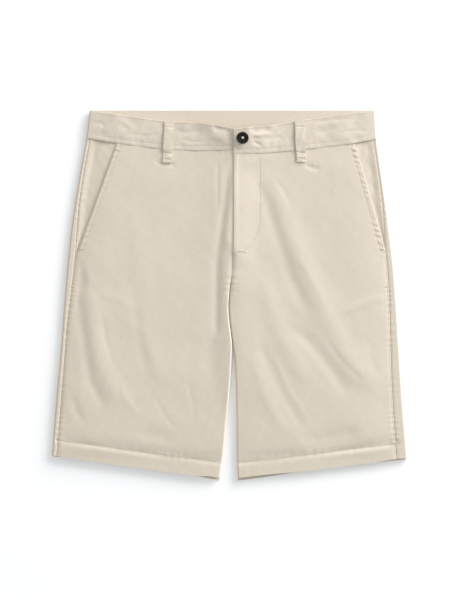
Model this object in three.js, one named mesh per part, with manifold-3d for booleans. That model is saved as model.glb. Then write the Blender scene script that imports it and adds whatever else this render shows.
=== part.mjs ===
// Flat-front chino shorts, knee length, laid face up on a table with the waist towards +Y and the
// wearer's left side at +X. Lengths are in millimetres. Every cloth piece is one closed wall, built
// from sections that run across the garment. "down" is the distance below the top edge of the back
// waistband, and x is measured from the centre front, until the last lines centre the whole garment.
import * as THREE from "three";
import Module from "manifold-3d";

const wasm = await Module();
wasm.setup();

// ---- Driving sizes ----
const cloth = 1.2; // one ply with its turnings pressed flat
const hemPly = 1.0; // the turned-up ply inside a hem
const hemDepth = 24;
const seamGap = 0.3; // between two pieces that are sewn together
const plyGap = 0.4; // between two pieces that lie on each other
const foldTop = 5.6; // outside height of a side fold
const innerTop = 5.2; // outside height of the inner leg edge
const crotch = { down: 265, above: 25, blend: 55 }; // the inner edge turns down over this stretch
const fly = {
  end: 212, // the opening stops here
  lift: 1.9, // the overlap lies this much higher than the underlap
  slope: 32, // and comes down to the rest of the front over this width
  under: 6, // how far the right front runs on below the overlap
  reach: 40,
};
const bedBlend = 0.6; // how softly a trough settles on the back panel
const foldFade = { waist: 66, waistBlend: 30, hem: 519, hemBlend: 22, edge: 14 }; // folds die out here
const hemSpread = { from: 480, blend: 20 }; // the hem's turned ply lifts the front over this stretch

const band = {
  thick: 2.0,
  height: 40,
  floor: 1.4, // the back waistband rests on its belt loops
  underlap: 38, // how far the buttoned end runs on below the buttonhole end
  tip: 3.2, // the front edge stands up this much at the button
  tipReach: 45,
  lowered: 0.8, // the buttoned end lies this much lower
  round: 0.5, // the band's side fold stands this much above the panels'
  turn: 12, // the front stretch stops this far before the side fold
  rest: 62, // down from here the back panels come down to the table
  restBlend: 18,
};
const loop = {
  width: 13.5,
  length: 61,
  thick: 1.1,
  arch: 1.6, // the middle of a loop stands this much off the waistband
  seat: 0.65, // clear height below its ends
  frontRight: { x: -95.8, lean: -3 },
  frontLeft: { x: 97.2, lean: 3 },
  back: { right: -105, centre: 0, left: 105 },
  backShort: 3.5, // a loop on the back is this much shorter
};
const button = {
  across: 17.8,
  thick: 3,
  edge: 0.9, // its rounded outer edge
  rim: 1.8,
  dish: 0.7,
  hole: 2,
  pitch: 3.4,
  x: 13.3,
  down: 41.2,
  clear: 0.6, // thread shank between the button and the waistband
};
const zip = { from: -2, to: 26, top: 67, bottom: 204, thick: 1.2, clear: 0.5 };
const pocket = {
  under: 25, // the facing runs on this far below the front at its top end
  underEnd: 11, // and this far at its low end
  fall: 0.359, // the low end's share of the way from waist to hem
  sink: 0.9, // the facing lies this much below the front's underside
};

// ---- Outlines, one row for each section ----
const sides = {
  right: {
    sign: -1,
    outer: [
      { down: -2, x: -212.2 }, { down: 42, x: -218.3 }, { down: 91, x: -227.9 },
      { down: 169, x: -240.1 }, { down: 243, x: -247.9 }, { down: 354, x: -256 },
      { down: 428, x: -262.7 }, { down: 515, x: -269 },
    ],
    inner: [
      { down: 30, x: 0 }, { down: 205, x: -0.2 }, { down: 240, x: -2.6 },
      { down: 265, x: -5.4 }, { down: 291, x: -7.2 }, { down: 317, x: -5.4 },
      { down: 347, x: -2.2 }, { down: 393, x: -4.2 }, { down: 428, x: -7 },
      { down: 465, x: -10.8 }, { down: 502, x: -14.4 }, { down: 547, x: -20.8 },
    ],
    inset: [ // from the side fold to the side seam, which lies on the front
      { down: 40, x: 5 }, { down: 132, x: 6.5 }, { down: 210, x: 10 }, { down: 260, x: 9.5 },
      { down: 325, x: 6.5 }, { down: 430, x: 7.5 }, { down: 515, x: 7 },
    ],
    slant: { top: { x: -174.5, down: 48.5 }, end: { x: -232.5, down: 211 } },
    hem: { outer: 512.4, inner: 546 },
    waist: [ // the seam between the front and its waistband
      { x: -220, down: 41.4 }, { x: -175, down: 48.6 }, { x: -131, down: 54.8 },
      { x: -87, down: 58.8 }, { x: -42, down: 60.2 }, { x: 0, down: 59.2 }, { x: 40, down: 58.6 },
    ],
    brim: [ // the top edge of the front waistband
      { x: -213, down: 0.4 }, { x: -186, down: 3.8 }, { x: -131, down: 11.6 },
      { x: -90, down: 16.3 }, { x: -57, down: 17.6 }, { x: -27, down: 21.8 },
      { x: 0, down: 27.4 }, { x: 40, down: 29 },
    ],
  },
  left: {
    sign: 1,
    outer: [
      { down: -2, x: 208.6 }, { down: 42, x: 212 }, { down: 95, x: 220.5 },
      { down: 169, x: 230.6 }, { down: 243, x: 239 }, { down: 354, x: 246.4 },
      { down: 428, x: 251 }, { down: 519, x: 258.2 },
    ],
    inner: [
      { down: 30, x: 0 }, { down: 205, x: -0.2 }, { down: 240, x: -2.6 },
      { down: 265, x: -5.4 }, { down: 291, x: -7.2 }, { down: 317, x: -5.2 },
      { down: 347, x: -1.2 }, { down: 372, x: 1.6 }, { down: 393, x: 2.6 },
      { down: 428, x: 3.8 }, { down: 465, x: 4.5 }, { down: 502, x: 4.6 }, { down: 547, x: 6.3 },
    ],
    inset: [
      { down: 40, x: 5 }, { down: 132, x: 5.5 }, { down: 210, x: 9.5 }, { down: 260, x: 10 },
      { down: 330, x: 12 }, { down: 391, x: 14 }, { down: 519, x: 16 },
    ],
    slant: { top: { x: 181, down: 50.5 }, end: { x: 226.5, down: 211 } },
    hem: { outer: 516.4, inner: 547 },
    waist: [
      { x: 0, down: 64.8 }, { x: 46, down: 63.8 }, { x: 90, down: 60 }, { x: 128, down: 55.6 },
      { x: 172, down: 50.3 }, { x: 199, down: 45.2 }, { x: 214, down: 43 },
    ],
    brim: [
      { x: 0, down: 27.4 }, { x: 25, down: 24.6 }, { x: 54, down: 22.6 }, { x: 90, down: 16 },
      { x: 131, down: 10 }, { x: 175, down: 4 }, { x: 210, down: 0.4 },
    ],
  },
};

// Rise of the front above a straight line between its edges, and of the hill below the fly.
const crown = [
  { down: 40, rise: 1.2 }, { down: 110, rise: 1.2 }, { down: 230, rise: 0.6 }, { down: 330, rise: -0.6 },
  { down: 430, rise: -1 }, { down: 500, rise: -0.6 }, { down: 519, rise: -0.5 }, { down: 560, rise: -0.5 },
];
const crownReach = 62;
const crownPower = 2.4; // how quickly the crown rises from an edge
const flyRise = [
  { down: 40, rise: 1.6 }, { down: 120, rise: 1.4 }, { down: 200, rise: 1 }, { down: 290, rise: 0 },
];

// The largest folds: ridges where rise is above 0, troughs where it is below.
const folds = [
  {
    name: "drag line from the fly to the left hem",
    rise: 3,
    reach: 11,
    fade: 45,
    path: [
      [44, 85], [66, 132], [82, 180], [100, 224], [124, 276], [138, 310], [161, 354], [183, 385],
      [208, 410], [228, 436],
    ],
  },
  {
    name: "second drag line",
    rise: 2,
    reach: 12,
    fade: 45,
    path: [[36, 224], [51, 280], [70, 332], [94, 381], [121, 425]],
  },
  {
    name: "trough beside the fly",
    rise: -3,
    reach: 10,
    fade: 60,
    path: [[-9, 88], [-17, 140], [-25, 184], [-30, 265], [-35, 325], [-36, 376], [-30, 430]],
  },
  {
    name: "curved ridge on the right leg",
    rise: 2.4,
    reach: 12,
    fade: 45,
    path: [[-212, 240], [-211, 298], [-206, 347], [-193, 387], [-177, 422], [-150, 452]],
  },
  {
    name: "short ridge on the right thigh",
    rise: 1.6,
    reach: 11,
    fade: 30,
    path: [[-138, 325], [-121, 366], [-106, 398]],
  },
];

// ---- Small helpers ----
const lerp = (a, b, t) => a + (b - a) * t;
const clamp = (t) => Math.min(1, Math.max(0, t));
const ease = (t) => clamp(t) ** 2 * (3 - 2 * clamp(t));
const range = (n) => Array.from({ length: n + 1 }, (_, i) => i / n);
const between = (a, b, n) => range(n).map((t) => lerp(a, b, t));

// A smooth curve through a table's rows.
function through(rows, at, to) {
  const last = rows.length - 1;
  const slope = (i) => {
    const a = rows[Math.max(0, i - 1)];
    const b = rows[Math.min(last, i + 1)];
    return (b[to] - a[to]) / (b[at] - a[at]);
  };
  return (where) => {
    let i = 0;
    while (i < last - 1 && where > rows[i + 1][at]) i += 1;
    const step = rows[i + 1][at] - rows[i][at];
    const t = (where - rows[i][at]) / step;
    if (t < 0) return rows[i][to] + slope(i) * t * step;
    if (t > 1) return rows[i + 1][to] + slope(i + 1) * (t - 1) * step;
    const t2 = t * t;
    const t3 = t2 * t;
    return (2 * t3 - 3 * t2 + 1) * rows[i][to] + (t3 - 2 * t2 + t) * slope(i) * step
      + (3 * t2 - 2 * t3) * rows[i + 1][to] + (t3 - t2) * slope(i + 1) * step;
  };
}

for (const side of Object.values(sides)) {
  for (const key of ["outer", "inner", "inset"]) side[key] = through(side[key], "down", "x");
  for (const key of ["waist", "brim"]) side[key] = through(side[key], "x", "down");
}
const crownAt = through(crown, "down", "rise");
const flyRiseAt = through(flyRise, "down", "rise");

// Nearest distance to a fold's line, and how far along it that point is.
function nearest(path, x, down) {
  let best = { gap: Infinity, along: 0 };
  let run = 0;
  for (let i = 0; i < path.length - 1; i += 1) {
    const [ax, ad] = path[i];
    const [bx, bd] = path[i + 1];
    const long = Math.hypot(bx - ax, bd - ad);
    const t = clamp(((x - ax) * (bx - ax) + (down - ad) * (bd - ad)) / long ** 2);
    const gap = Math.hypot(x - lerp(ax, bx, t), down - lerp(ad, bd, t));
    if (gap < best.gap) best = { gap, along: run + t * long };
    run += long;
  }
  return { ...best, whole: run };
}

function foldsAt(x, down) {
  return folds.reduce((sum, f) => {
    const { gap, along, whole } = nearest(f.path, x, down);
    const ends = ease(along / f.fade) * ease((whole - along) / f.fade);
    return sum + f.rise * ends * Math.exp(-((gap / f.reach) ** 2));
  }, 0);
}

// 0 above the crotch and 1 below it, where the two legs are apart.
const legsApart = (down) => ease((down - crotch.down + crotch.above) / crotch.blend);

// ---- Heights: the underside of the front, above the table ----
function frontUnder(side, x, down) {
  const toOuter = Math.abs(x - side.outer(down)) - side.inset(down);
  const toInner = Math.max(0, side.sign * (x - side.inner(down)));
  const below = legsApart(down);
  const rises = (gap) => 1 - (1 - clamp(gap / crownReach)) ** crownPower;
  const bulge = rises(toOuter) * lerp(1, rises(toInner), below);
  const soft = ease(toOuter / foldFade.edge) * lerp(1, ease(toInner / foldFade.edge), below);
  const pastWaist = ease((down - foldFade.waist) / foldFade.waistBlend);
  const beforeHem = ease((foldFade.hem - down) / foldFade.hemBlend);
  const lastFlyRow = flyRise[flyRise.length - 1].down;
  const hill = flyRiseAt(Math.min(down, lastFlyRow)) * Math.exp(-((x / fly.reach) ** 2));
  const lapEnd = 1 - ease((down - fly.end - 4) / 24);
  const lapHold = lerp(band.underlap + 1, fly.under, pastWaist);
  const lap = side.sign > 0 ? fly.lift * (1 - ease((x - lapHold) / fly.slope)) * lapEnd : 0;
  const form = foldTop - cloth + crownAt(down) * bulge + hill + lap;
  const free = form + foldsAt(x, down) * soft * pastWaist * beforeHem;
  const bed = cloth + hemPly * ease((down - hemSpread.from) / hemSpread.blend) + plyGap; // the back panel
  return (free + bed + Math.hypot(free - bed, bedBlend)) / 2;
}

// Height of the table side of the back: it rises a little where the belt loops lie below it.
const backUnder = (down) => band.floor * (1 - ease((down - band.rest) / band.restBlend));

// ---- Closed walls ----
// rows[i][j] = { inside: [x, down, z], outside: [x, down, z] }
function wall(rows) {
  const m = rows.length - 1;
  const n = rows[0].length - 1;
  const points = [];
  const face = (a, b, c, d) => {
    for (const p of [a, b, c, a, c, d]) points.push(p[0], -p[1], p[2]);
  };
  for (let i = 0; i < m; i += 1) {
    for (let j = 0; j < n; j += 1) {
      const [a, b, c, d] = [rows[i][j], rows[i][j + 1], rows[i + 1][j + 1], rows[i + 1][j]];
      face(a.outside, b.outside, c.outside, d.outside);
      face(d.inside, c.inside, b.inside, a.inside);
    }
  }
  const rim = (a, b) => face(a.outside, a.inside, b.inside, b.outside);
  for (let j = 0; j < n; j += 1) {
    rim(rows[0][j], rows[0][j + 1]);
    rim(rows[m][j + 1], rows[m][j]);
  }
  for (let i = 0; i < m; i += 1) {
    rim(rows[i + 1][0], rows[i][0]);
    rim(rows[i][n], rows[i + 1][n]);
  }
  const geometry = new THREE.BufferGeometry();
  geometry.setAttribute("position", new THREE.Float32BufferAttribute(points, 3));
  return facingOut(geometry);
}

function facingOut(geometry) {
  const p = geometry.attributes.position;
  const [a, b, c] = [new THREE.Vector3(), new THREE.Vector3(), new THREE.Vector3()];
  let volume = 0;
  for (let i = 0; i < p.count; i += 3) {
    a.fromBufferAttribute(p, i);
    b.fromBufferAttribute(p, i + 1);
    c.fromBufferAttribute(p, i + 2);
    volume += a.dot(b.cross(c));
  }
  if (volume < 0) {
    for (let i = 0; i < p.count; i += 3) {
      b.fromBufferAttribute(p, i + 1);
      c.fromBufferAttribute(p, i + 2);
      p.setXYZ(i + 1, c.x, c.y, c.z);
      p.setXYZ(i + 2, b.x, b.y, b.z);
    }
  }
  geometry.computeVertexNormals();
  return geometry;
}

// ---- Fronts ----
// Where the front starts: the slanted pocket edge, and below it the side seam.
function edgeInset(side, down) {
  const { top, end } = side.slant;
  const slantX = lerp(top.x, end.x, (down - top.down) / (end.down - top.down));
  return Math.max(side.inset(down), side.sign * (side.outer(down) - slantX));
}

// A place on the front's plan: share runs from the side fold to the inner edge, fall from waist to hem.
function plan(side, share, fall) {
  const waistOut = side.waist(side.outer(42));
  const waistIn = side.waist(0);
  const downOut = lerp(waistOut, side.hem.outer, fall);
  const downIn = lerp(waistIn, side.hem.inner, fall);
  const x = lerp(side.outer(downOut), side.inner(downIn), share);
  const straight = lerp(waistOut, waistIn, share);
  const bow = (side.waist(x) - straight) * (1 - fall) ** 3;
  const width = Math.abs(side.inner(downIn) - side.outer(downOut));
  return { x, down: lerp(downOut, downIn, share) + bow, width };
}

// Sections of the panels, as shares of the way from waist to hem: close together where the hem's
// turned ply starts, with the same starts used for its thickness.
const frontHem = { start: 0.935, blend: 0.012 };
const backHem = { start: 0.948, blend: 0.004 };
const frontRows = [0, 0.03, ...between(0.065, 0.91, 20), 0.932, 0.947, 0.972, 1];
const backRows = [0, 0.035, 0.05, 0.08, ...between(0.12, 0.84, 9), 0.93, 0.948, 0.952, 0.972, 1];
const settleSteps = 12; // a sloping edge is found by moving towards it this many times

function frontGeometry(side) {
  const round = innerTop - cloth - plyGap; // outside radius of the inner leg edge
  const edge = seamGap / 2 + (side.sign < 0 ? 0 : 0.02);
  return wall(frontRows.map((fall) => {
    const waistGap = fall === 0 ? seamGap / 2 : 0;
    let start = 0;
    for (let i = 0; i < settleSteps; i += 1) {
      const p = plan(side, start, fall);
      start = (edgeInset(side, p.down) + seamGap / 2) / p.width;
    }
    const inner = plan(side, 1, fall);
    const turn = legsApart(inner.down);
    const under = side.sign < 0 ? fly.under * (1 - ease((inner.down - fly.end + 8) / 7)) : 0;
    const stop = 1 - round / inner.width;
    const ply = hemPly * ease((fall - frontHem.start) / frontHem.blend);
    const flat = between(start, stop, 15).map((share) => {
      const p = plan(side, share, fall);
      const z = frontUnder(side, p.x, p.down);
      const down = p.down + waistGap;
      return { inside: [p.x, down, z - ply], outside: [p.x, down, z + cloth] };
    });
    const from = flat[flat.length - 1];
    const foot = cloth + (ply > 0 ? hemPly : 0) + plyGap;
    const centreX = inner.x + side.sign * (edge + round);
    const rounded = range(4).slice(1).map((t) => {
      const angle = (t * Math.PI) / 2;
      const x = lerp(from.outside[0], inner.x + side.sign * edge, t) + under * t;
      const down = lerp(from.outside[1], inner.down + waistGap, t);
      const z = frontUnder(side, x, down);
      const ring = (radius, top) => [
        centreX - side.sign * radius * Math.sin(angle),
        down,
        lerp(top, foot, 1 - Math.cos(angle)),
      ];
      const drop = (p, q) => p.map((value, i) => lerp(value, q[i], turn));
      return {
        inside: drop([x, down, z - ply], ring(round - cloth - ply * 0.6, from.inside[2])),
        outside: drop([x, down, z + cloth], ring(round, from.outside[2])),
      };
    });
    return [...flat, ...rounded];
  }));
}

// ---- Backs: flat on the table, round the side fold and up to the side seam on the front ----
function backGeometry(side) {
  const top = band.height + seamGap / 2;
  const dip = 1.4; // the waist seam runs this much lower at the side
  const hemLow = { outer: 0.6, inner: 1.2 }; // the back hem shows this much below the front's
  return wall(backRows.map((fall) => {
    const downOut = lerp(top + dip, side.hem.outer + hemLow.outer, fall);
    const downIn = lerp(top, side.hem.inner + hemLow.inner, fall);
    const xOut = side.outer(downOut);
    const xIn = side.inner(downIn) + side.sign * seamGap / 2;
    const ply = hemPly * ease((fall - backHem.start) / backHem.blend);
    const low = backUnder(downOut);
    const radius = (foldTop - low) / 2;
    const flat = range(9).map((t) => {
      const x = lerp(xIn, xOut - side.sign * radius, t);
      const down = lerp(downIn, downOut, clamp((x - xIn) / (xOut - xIn)));
      const z = lerp(backUnder(down), low, t ** 4);
      return { inside: [x, down, z + cloth + ply], outside: [x, down, z] };
    });
    const seamX = xOut - side.sign * (side.inset(downOut) - seamGap / 2);
    const seamTop = side.waist(seamX) + seamGap / 2 + 0.1;
    const onFront = (t) => lerp(lerp(top + dip, seamTop, t), side.hem.outer + hemLow.outer, fall);
    const arc = range(6).slice(1).map((t) => {
      const angle = -Math.PI / 2 + t * Math.PI;
      const place = (r) => [
        xOut + side.sign * (r * Math.cos(angle) - radius),
        onFront(t),
        low + radius + r * Math.sin(angle),
      ];
      const thin = radius - cloth - ply * (1 - t) ** 2;
      return { inside: place(thin), outside: place(radius) };
    });
    const strip = { inside: [seamX, onFront(1), foldTop - cloth], outside: [seamX, onFront(1), foldTop] };
    return [...flat, ...arc, strip];
  }));
}

// ---- Pocket facings: the hip below the slanted pocket edge ----
function facingGeometry(side) {
  return wall(range(9).map((t) => range(6).map((s) => {
    const fall = pocket.fall * t;
    let share = 0;
    let p = plan(side, share, fall);
    for (let i = 0; i < settleSteps; i += 1) {
      const start = side.inset(p.down) + seamGap;
      const end = edgeInset(side, p.down) + lerp(pocket.under, pocket.underEnd, t);
      share = lerp(start, end, s) / p.width;
      p = plan(side, share, fall);
    }
    const fromSeam = Math.abs(p.x - side.outer(p.down)) - side.inset(p.down);
    const sink = Math.max(ease(fromSeam / 12), ease((p.down - 130) / 50));
    const below = cloth + lerp(plyGap, pocket.sink, ease((p.down - 60) / 40));
    const z = frontUnder(side, p.x, p.down) - sink * below;
    const down = p.down + (t === 0 ? seamGap / 2 : 0);
    return { inside: [p.x, down, z], outside: [p.x, down, z + cloth] };
  })));
}

// ---- Waistband halves: from the centre front round the side fold to the centre back ----
function bandSection(side, x) {
  const low = side.waist(x) - seamGap / 2;
  const high = side.brim(x);
  const tip = band.tip * Math.exp(-((x / band.tipReach) ** 2));
  const lowered = side.sign < 0 ? band.lowered * ease((x + 15) / 15) : 0;
  const base = frontUnder(side, x, low + 0.5) - plyGap - lowered;
  return { high, low, z: (t) => base + tip * (1 - t) ** 1.3 };
}

function bandGeometry(side) {
  const across = range(4);
  const backDown = (a) => lerp(0, band.height - seamGap / 2, a);
  const frontFrom = side.sign < 0 ? band.underlap : seamGap / 2;
  const frontTo = side.outer(band.height / 2) - side.sign * band.turn;
  const topZ = foldTop + band.round;
  const radius = (topZ - band.floor) / 2;
  const front = between(frontFrom, frontTo, 20).map((x) => {
    const section = bandSection(side, x);
    return across.map((a) => {
      const down = lerp(section.high, section.low, a);
      return { inside: [x, down, section.z(a)], outside: [x, down, section.z(a) + band.thick] };
    });
  });
  const fold = range(8).map((t) => across.map((a) => {
    const angle = Math.PI / 2 - t * Math.PI;
    const section = bandSection(side, side.outer(lerp(0, 42, a)));
    const frontDown = lerp(Math.max(0, section.high), section.low, a);
    const down = lerp(frontDown, backDown(a), t);
    const place = (r) => [
      side.outer(down) + side.sign * (r * Math.cos(angle) - radius),
      down,
      topZ - radius + r * Math.sin(angle),
    ];
    return { inside: place(radius - band.thick), outside: place(radius) };
  }));
  const back = range(8).slice(1).map((t) => across.map((a) => {
    const down = backDown(a);
    const x = lerp(side.outer(down) - side.sign * radius, side.sign * seamGap / 2, t);
    return { inside: [x, down, band.floor + band.thick], outside: [x, down, band.floor] };
  }));
  return wall([...front, ...fold, ...back]);
}

// ---- Belt loops ----
function frontLoopGeometry(side, at) {
  const { high, low } = bandSection(side, at.x);
  return wall(range(10).map((t) => range(2).map((s) => {
    const down = high + 0.6 + t * loop.length;
    const x = at.x + at.lean * t + (s - 0.5) * loop.width;
    const section = bandSection(side, x);
    const share = clamp((down - section.high) / (section.low - section.high));
    const onBand = section.z(share) + band.thick;
    const onFront = frontUnder(side, x, Math.max(down, low + 0.5)) + cloth;
    const seat = lerp(onBand, onFront, ease((down - low) / 6));
    const arch = loop.arch * Math.max(0, Math.sin(Math.PI * clamp((t - 0.03) / 0.72))) ** 0.8;
    const z = seat + loop.seat + arch;
    return { inside: [x, down, z], outside: [x, down, z + loop.thick] };
  })));
}

function backLoopGeometry(x) {
  const rows = [seamGap, loop.length - loop.backShort];
  return wall(rows.map((down) => [-0.5, 0.5].map((s) => (
    { inside: [x + s * loop.width, down, loop.thick], outside: [x + s * loop.width, down, 0] }
  ))));
}

// ---- Zip: its closed tape, hidden below the fly ----
function zipGeometry() {
  const side = sides.right;
  return wall(range(10).map((t) => range(3).map((s) => {
    const down = lerp(zip.top, zip.bottom, t);
    const x = lerp(zip.from, zip.to, s);
    const z = frontUnder(side, x, down) - zip.clear;
    return { inside: [x, down, z - zip.thick], outside: [x, down, z] };
  })));
}

// ---- Button: a turned disc with a raised rim and four holes ----
function solidOf(geometry) {
  const { points, faces } = mergeByPlace(geometry);
  return new wasm.Manifold(new wasm.Mesh({ numProp: 3, vertProperties: points, triVerts: faces }));
}

function mergeByPlace(geometry) {
  const flat = geometry.index ? geometry.toNonIndexed() : geometry;
  const p = flat.attributes.position;
  const seen = new Map();
  const points = [];
  const faces = [];
  for (let i = 0; i < p.count; i += 1) {
    const key = [p.getX(i), p.getY(i), p.getZ(i)].map((v) => Math.round(v * 1e4)).join();
    if (!seen.has(key)) {
      seen.set(key, points.length / 3);
      points.push(p.getX(i), p.getY(i), p.getZ(i));
    }
    faces.push(seen.get(key));
  }
  const kept = [];
  for (let i = 0; i < faces.length; i += 3) {
    const [a, b, c] = faces.slice(i, i + 3);
    if (a !== b && b !== c && a !== c) kept.push(a, b, c);
  }
  return { points: new Float32Array(points), faces: new Uint32Array(kept) };
}

function geometryOf(solid) {
  const mesh = solid.getMesh();
  const geometry = new THREE.BufferGeometry();
  geometry.setAttribute("position", new THREE.BufferAttribute(mesh.vertProperties, 3));
  geometry.setIndex(new THREE.BufferAttribute(mesh.triVerts, 1));
  geometry.computeVertexNormals();
  return geometry;
}

function buttonGeometry() {
  const r = button.across / 2;
  const inRim = r - button.rim;
  const dishZ = button.thick - button.dish;
  const profile = [
    [0, 0], [r - 1.2, 0], [r, button.edge], [r, button.thick - 0.7], [r - 0.7, button.thick],
    [inRim, button.thick], [inRim - 0.8, dishZ], [0, dishZ],
  ].map(([x, y]) => new THREE.Vector2(x, y));
  const turned = new THREE.LatheGeometry(profile, 28);
  let solid = solidOf(facingOut(turned.toNonIndexed()));
  for (const [sx, sy] of [[-1, -1], [1, -1], [1, 1], [-1, 1]]) {
    const drill = new THREE.CylinderGeometry(button.hole / 2, button.hole / 2, 10, 10);
    drill.translate((sx * button.pitch) / 2, 0, (sy * button.pitch) / 2);
    solid = solid.subtract(solidOf(drill));
  }
  return geometryOf(solid).rotateX(Math.PI / 2);
}

// Where the button sits, tipped with the waistband below it.
function buttonPlace() {
  const section = bandSection(sides.left, button.x);
  const share = (down) => (down - section.high) / (section.low - section.high);
  const height = (down) => section.z(share(down)) + band.thick;
  const reach = button.across / 2;
  const fallsBy = height(button.down - reach) - height(button.down + reach);
  return {
    position: [button.x, -button.down, height(button.down) + button.clear],
    tilt: Math.atan2(fallsBy, 2 * reach),
  };
}

// ---- Materials ----
const twill = new THREE.MeshStandardMaterial({ color: 0xded3c2, roughness: 0.88, metalness: 0 });
const twillInside = new THREE.MeshStandardMaterial({ color: 0xdccfbf, roughness: 0.9, metalness: 0 });
const horn = new THREE.MeshStandardMaterial({ color: 0x2e201b, roughness: 0.4, metalness: 0 });
const tape = new THREE.MeshStandardMaterial({ color: 0xc9bda9, roughness: 0.8, metalness: 0 });

// ---- The garment ----
const shorts = new THREE.Group();

function add(name, geometry, material) {
  const mesh = new THREE.Mesh(geometry, material);
  mesh.name = name;
  shorts.add(mesh);
  return mesh;
}

for (const [word, side] of Object.entries(sides)) {
  add(`front_${word}`, frontGeometry(side), twill);
  add(`back_${word}`, backGeometry(side), twill);
  add(`pocket_facing_${word}`, facingGeometry(side), twill);
  add(`waistband_${word}`, bandGeometry(side), twillInside);
}
add("belt_loop_front_right", frontLoopGeometry(sides.right, loop.frontRight), twill);
add("belt_loop_front_left", frontLoopGeometry(sides.left, loop.frontLeft), twill);
for (const [word, x] of Object.entries(loop.back)) {
  add(`belt_loop_back_${word}`, backLoopGeometry(x), twill);
}
add("zip", zipGeometry(), tape);
const seat = buttonPlace();
const disc = add("button", buttonGeometry(), horn);
disc.rotation.x = seat.tilt;
disc.position.set(...seat.position);

// The origin is on the table, below the middle of the whole garment.
shorts.updateMatrixWorld(true);
const box = new THREE.Box3().setFromObject(shorts, true);
const middle = box.getCenter(new THREE.Vector3());
shorts.position.set(-middle.x, -middle.y, 0);

export default shorts;
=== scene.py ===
import math
import bmesh
import bpy
import numpy as np
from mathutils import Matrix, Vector


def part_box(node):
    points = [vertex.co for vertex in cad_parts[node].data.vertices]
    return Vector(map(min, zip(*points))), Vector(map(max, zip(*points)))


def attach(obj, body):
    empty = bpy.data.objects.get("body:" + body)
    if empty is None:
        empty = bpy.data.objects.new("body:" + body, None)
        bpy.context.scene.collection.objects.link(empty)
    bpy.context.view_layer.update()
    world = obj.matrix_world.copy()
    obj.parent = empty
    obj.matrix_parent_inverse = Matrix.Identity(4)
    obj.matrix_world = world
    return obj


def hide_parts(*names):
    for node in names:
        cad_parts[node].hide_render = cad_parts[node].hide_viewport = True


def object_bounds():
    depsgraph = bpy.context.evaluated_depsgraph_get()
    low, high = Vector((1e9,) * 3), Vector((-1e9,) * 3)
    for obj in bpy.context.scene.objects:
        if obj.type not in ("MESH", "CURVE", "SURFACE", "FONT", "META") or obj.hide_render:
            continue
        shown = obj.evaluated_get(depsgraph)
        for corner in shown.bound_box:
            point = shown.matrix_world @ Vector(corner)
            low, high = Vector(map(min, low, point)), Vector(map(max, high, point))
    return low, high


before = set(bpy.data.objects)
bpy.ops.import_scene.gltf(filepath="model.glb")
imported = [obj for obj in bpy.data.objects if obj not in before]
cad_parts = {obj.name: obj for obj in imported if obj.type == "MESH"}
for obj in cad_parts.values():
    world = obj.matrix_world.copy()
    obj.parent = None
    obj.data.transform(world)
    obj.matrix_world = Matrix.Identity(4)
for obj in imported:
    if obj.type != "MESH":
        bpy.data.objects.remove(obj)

cadBox = [list(map(float, corner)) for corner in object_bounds()]
mm = 0.001

# Chino shorts laid face up. All lengths in the dictionaries are millimetres. "down" is the distance
# below the top edge of the back waistband, x is measured from the centre front.
topY = cadBox[1][1] / mm
middleLow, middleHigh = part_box("belt_loop_back_centre")
middleX = (middleLow[0] + middleHigh[0]) / 2 / mm

cloth = dict(ply=1.0, hemPly=1.0, hemDepth=24, foldTop=5.8, innerRoll=1.7, crotch=265, gap=0.3, clear=0.4)
band = dict(thick=2.0, height=40, floor=1.4, underlap=38, tip=4.4, tipReach=45, seamIn=7.5, brimIn=2.2)
fly = dict(end=212, lift=1.15, under=6, stitchIn=40, curveFrom=158, curveOver=54)


def clamp(t):
    return np.clip(t, 0, 1)


def ease(t):
    t = clamp(t)
    return t * t * (3 - 2 * t)


def lerp(a, b, t):
    return a + (b - a) * t


# 1 at no distance, dying away over the reach
def bump(distance, reach):
    return np.exp(-(distance / reach) ** 2)


# A smooth curve through rows of (place, value), straight on past both ends
def through(rows):
    xs, ys = np.array(rows, float).T
    slopes = np.empty_like(ys)
    slopes[1:-1] = (ys[2:] - ys[:-2]) / (xs[2:] - xs[:-2])
    slopes[0] = (ys[1] - ys[0]) / (xs[1] - xs[0])
    slopes[-1] = (ys[-1] - ys[-2]) / (xs[-1] - xs[-2])

    def at(where):
        where = np.asarray(where, float)
        i = np.clip(np.searchsorted(xs, where) - 1, 0, len(xs) - 2)
        step = xs[i + 1] - xs[i]
        t = (where - xs[i]) / step
        tc = clamp(t)
        t2, t3 = tc * tc, tc ** 3
        inside = ((2 * t3 - 3 * t2 + 1) * ys[i] + (t3 - 2 * t2 + tc) * slopes[i] * step
                  + (3 * t2 - 2 * t3) * ys[i + 1] + (t3 - t2) * slopes[i + 1] * step)
        past = np.where(t < 0, slopes[i] * t * step, np.where(t > 1, slopes[i + 1] * (t - 1) * step, 0))
        return inside + past
    return at


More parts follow.
